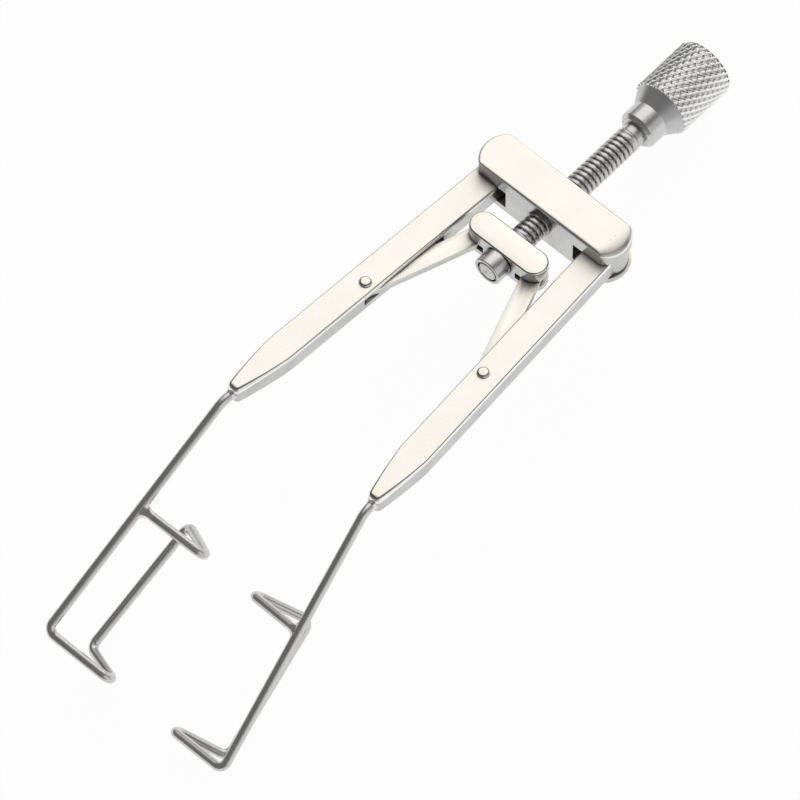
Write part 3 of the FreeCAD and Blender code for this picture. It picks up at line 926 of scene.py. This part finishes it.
def makeJointBraze(side, around=56, steps=10):
    joint = bladePoint(wire["shank"])
    branch = (bladePoint(wire["shank"], *wire["proximalHook"]) - joint).normalized()
    along = (joint - bladePoint(0)).normalized()
    across = branch.cross(along).normalized()
    radius = wire["radius"] + brazeJoint["proud"]
    bm = bmesh.new()
    rows = []
    for place in range(around):
        turn = math.tau * place / around
        out = along * math.cos(turn) + across * math.sin(turn)
        wrap = math.radians(brazeJoint["wrap"]) * math.sin(turn)
        top = joint + branch * brazeJoint["reach"] + out * radius
        corner = joint + out * radius + branch * (radius * abs(math.cos(turn)))
        foot = (joint + along * (brazeJoint["spread"] * math.cos(turn))
                + (branch * math.cos(wrap) + across * math.sin(wrap)) * radius)
        rows.append([bm.verts.new(
            top * (1 - t) ** 2 + corner * (2 * t * (1 - t)) + foot * t ** 2)
            for t in (step / steps for step in range(steps + 1))])
    for near, far in zip(rows, rows[1:] + rows[:1]):
        for step in range(steps):
            bm.faces.new((near[step], near[step + 1], far[step + 1], far[step]))
    bm.faces.new([row[0] for row in rows])
    under = bm.verts.new(joint)
    for near, far in zip(rows, rows[1:] + rows[:1]):
        bm.faces.new((near[steps], under, far[steps]))
    fitToArm(shellObject(side + "JointBraze", bm), side, "braze", "silver_braze", "_joint_braze")


def makeSocketBraze(side, around=48):
    back = brazeRing["back"]
    front = back + brazeRing["length"]
    start = -arms["length"] + back
    outer = wire["radius"] + brazeRing["spread"]
    rings = ((0, outer), (back * 0.8, outer),
             (back + brazeRing["length"] * 0.4, wire["radius"] + brazeRing["spread"] * 0.35),
             (front, wire["radius"] + 0.005), (front, wire["radius"] - 0.05), (0, wire["radius"] - 0.05))
    turns = [math.tau * i / around for i in range(around)]
    bm = bmesh.new()
    skinLoops(bm, [[bm.verts.new((radius * math.cos(turn), start - ahead, wireLevel + radius * math.sin(turn)))
                    for turn in turns] for ahead, radius in rings], closed=True)
    fitToArm(shellObject(side + "SocketBraze", bm), side, "braze", "silver_braze", "_socket_braze")


# Rivets: a low button head, upset over the arm

rivet = dict(
    offset=0.37, distance=17.35, radius=0.4, headRadius=0.6, headHeight=0.3, rimRound=0.12, crownRound=0.16,
)


def makeRivet(side, around=40):
    points = [
        (-arms["thickness"], 0), (-arms["thickness"], rivet["radius"]), (-0.02, rivet["radius"]),
        (0.0, rivet["headRadius"] - 0.03), (rivet["headHeight"] * 0.35, rivet["headRadius"]),
        (rivet["headHeight"] * 0.85, rivet["headRadius"] * 0.72), (rivet["headHeight"], 0)]
    bm = bmesh.new()
    loops = []
    for z, radius in roundedProfile(points, [0, 0, 0, rivet["rimRound"], rivet["crownRound"]], 5):
        turns = [math.tau * i / around for i in range(around if radius > hair else 1)]
        spread = radius if len(turns) > 1 else 0.0
        loops.append([bm.verts.new((spread * math.cos(turn) - rivet["offset"],
                                    spread * math.sin(turn) - rivet["distance"], z)) for turn in turns])
    skinLoops(bm, loops)
    fitToArm(shellObject(side + "LinkRivet", bm), side, "bar", "pin_steel", "_link_rivet")


threadTree = makeThreadTree()
knurlTree = makeKnurlTree()
wireTree = makeWireTree()
makeScrew()
makeRing()
makeKnob()
print("screw, ring and knob turned")
makeYokeBar()
softenedCopy("crosshead", "crossheadBar", "crosshead")
for side in sides:
    makeArmBar(side)
    softenedCopy(side + "_link", side + "LinkBar", side + "_link")
    makeRivet(side)
    makeWire(side)
    makeJointBraze(side)
    makeSocketBraze(side)
    for pin in ("_arm_pin", "_link_pin"):
        frame["nodes"][side + pin].data.materials.clear()
        frame["nodes"][side + pin].data.materials.append(metals["bar"])
print("bars, links, rivets, wires and brazes made")


# Floor, light and camera

studio = dict(floorSize=3.0, floorTone=tint(0.92, 0.925, 0.915), whiteShare=0.965, room=0.20)


def makeFloor():
    half = studio["floorSize"] / 2
    mesh = bpy.data.meshes.new("floor")
    corners = [(-half, -half, 0), (half, -half, 0), (half, half, 0), (-half, half, 0)]
    mesh.from_pydata(corners, [], [(0, 1, 2, 3)])
    floor = meshObject("floor", mesh)
    material = bpy.data.materials.new("paleFloor")
    material.use_nodes = True
    tree = material.node_tree
    shader = tree.nodes["Principled BSDF"]
    shader.inputs["Base Color"].default_value = studio["floorTone"]
    shader.inputs["Roughness"].default_value = 0.9
    shader.inputs["Specular IOR Level"].default_value = 0.0
    glow = put(tree, "ShaderNodeEmission")
    rays = put(tree, "ShaderNodeLightPath")
    mix = put(tree, "ShaderNodeMixShader")
    shown = calc(tree, "MAXIMUM", rays.outputs["Is Camera Ray"], calc(
        tree, "MAXIMUM", rays.outputs["Is Glossy Ray"], rays.outputs["Is Transmission Ray"]))
    tree.links.new(calc(tree, "MULTIPLY", shown, studio["whiteShare"]), mix.inputs[0])
    tree.links.new(shader.outputs[0], mix.inputs[1])
    tree.links.new(glow.outputs[0], mix.inputs[2])
    tree.links.new(mix.outputs[0], tree.nodes["Material Output"].inputs["Surface"])
    mesh.materials.append(material)


viewpoint = dict(
    turn=42.387, rise=58.695, roll=-0.163, distance=898.527, aim=(3.472, -24.336, 0.0), lens=459.61,
)


def viewAxes():
    turn = math.radians(viewpoint["turn"])
    rise = math.radians(viewpoint["rise"])
    back = Vector((math.sin(turn) * math.cos(rise), -math.cos(turn) * math.cos(rise), math.sin(rise)))
    right = Vector((math.cos(turn), math.sin(turn), 0))
    return right, back.cross(right), back


def makeCamera():
    right, up, back = viewAxes()
    roll = math.radians(viewpoint["roll"])
    rolledRight = right * math.cos(roll) + up * math.sin(roll)
    rolledUp = up * math.cos(roll) - right * math.sin(roll)
    turned = Matrix((rolledRight, rolledUp, back)).transposed().to_4x4()
    place = Matrix.Translation((Vector(viewpoint["aim"]) + back * viewpoint["distance"]) * mm) @ turned
    lens = bpy.data.cameras.new("camera")
    lens.lens = viewpoint["lens"]
    lens.sensor_width = 36.0
    lens.clip_start = 0.01
    lens.clip_end = 20.0
    camera = bpy.data.objects.new("camera", lens)
    camera.matrix_world = toRest @ place
    bpy.context.scene.collection.objects.link(camera)
    bpy.context.scene.camera = camera


skyLights = {
    "window": dict(towards=(-0.38, 0.46, 0.84), inner=0.88, outer=0.66, level=0.53),
    "sideWall": dict(towards=(0.93, 0.02, 0.34), inner=0.97, outer=0.78, level=0.55),
    "frontWall": dict(towards=(0.90, -0.40, 0.25), inner=0.98, outer=0.72, level=0.24),
    "backWall": dict(towards=(0.08, 0.93, 0.35), inner=0.95, outer=0.74, level=0.9),
}


def makeWorld():
    # a bright window above and behind the knob, a paler wall on the right, a dim room in front
    world = bpy.data.worlds.new("studio")
    bpy.context.scene.world = world
    world.use_nodes = True
    tree = world.node_tree
    background = tree.nodes["Background"]
    direction = put(tree, "ShaderNodeTexCoord").outputs["Generated"]
    level = studio["room"]
    for light in skyLights.values():
        facing = put(tree, "ShaderNodeVectorMath", operation="DOT_PRODUCT")
        tree.links.new(direction, facing.inputs[0])
        facing.inputs[1].default_value = (toRest.to_3x3() @ Vector(light["towards"])).normalized()
        level = calc(tree, "ADD", level, ramped(
            tree, facing.outputs["Value"], light["outer"], light["inner"], 0.0, light["level"]))
    tree.links.new(level, background.inputs["Strength"])
    background.inputs["Color"].default_value = tint(1, 0.995, 0.985)


lamps = {
    "key": dict(place=(-0.38, 0.46, 0.84), size=0.9, power=1.0),
}


def makeLamps():
    for name, lamp in lamps.items():
        light = bpy.data.lights.new(name, "AREA")
        light.shape = "DISK"
        light.size = lamp["size"]
        light.energy = lamp["power"]
        made = bpy.data.objects.new(name, light)
        place = toRest.to_3x3() @ Vector(lamp["place"])
        made.location = place
        made.rotation_euler = (-place).to_track_quat("-Z", "Y").to_euler()
        bpy.context.scene.collection.objects.link(made)


makeFloor()
makeCamera()
makeWorld()
makeLamps()
bpy.context.scene.view_settings.view_transform = "Standard"
print("stage set")
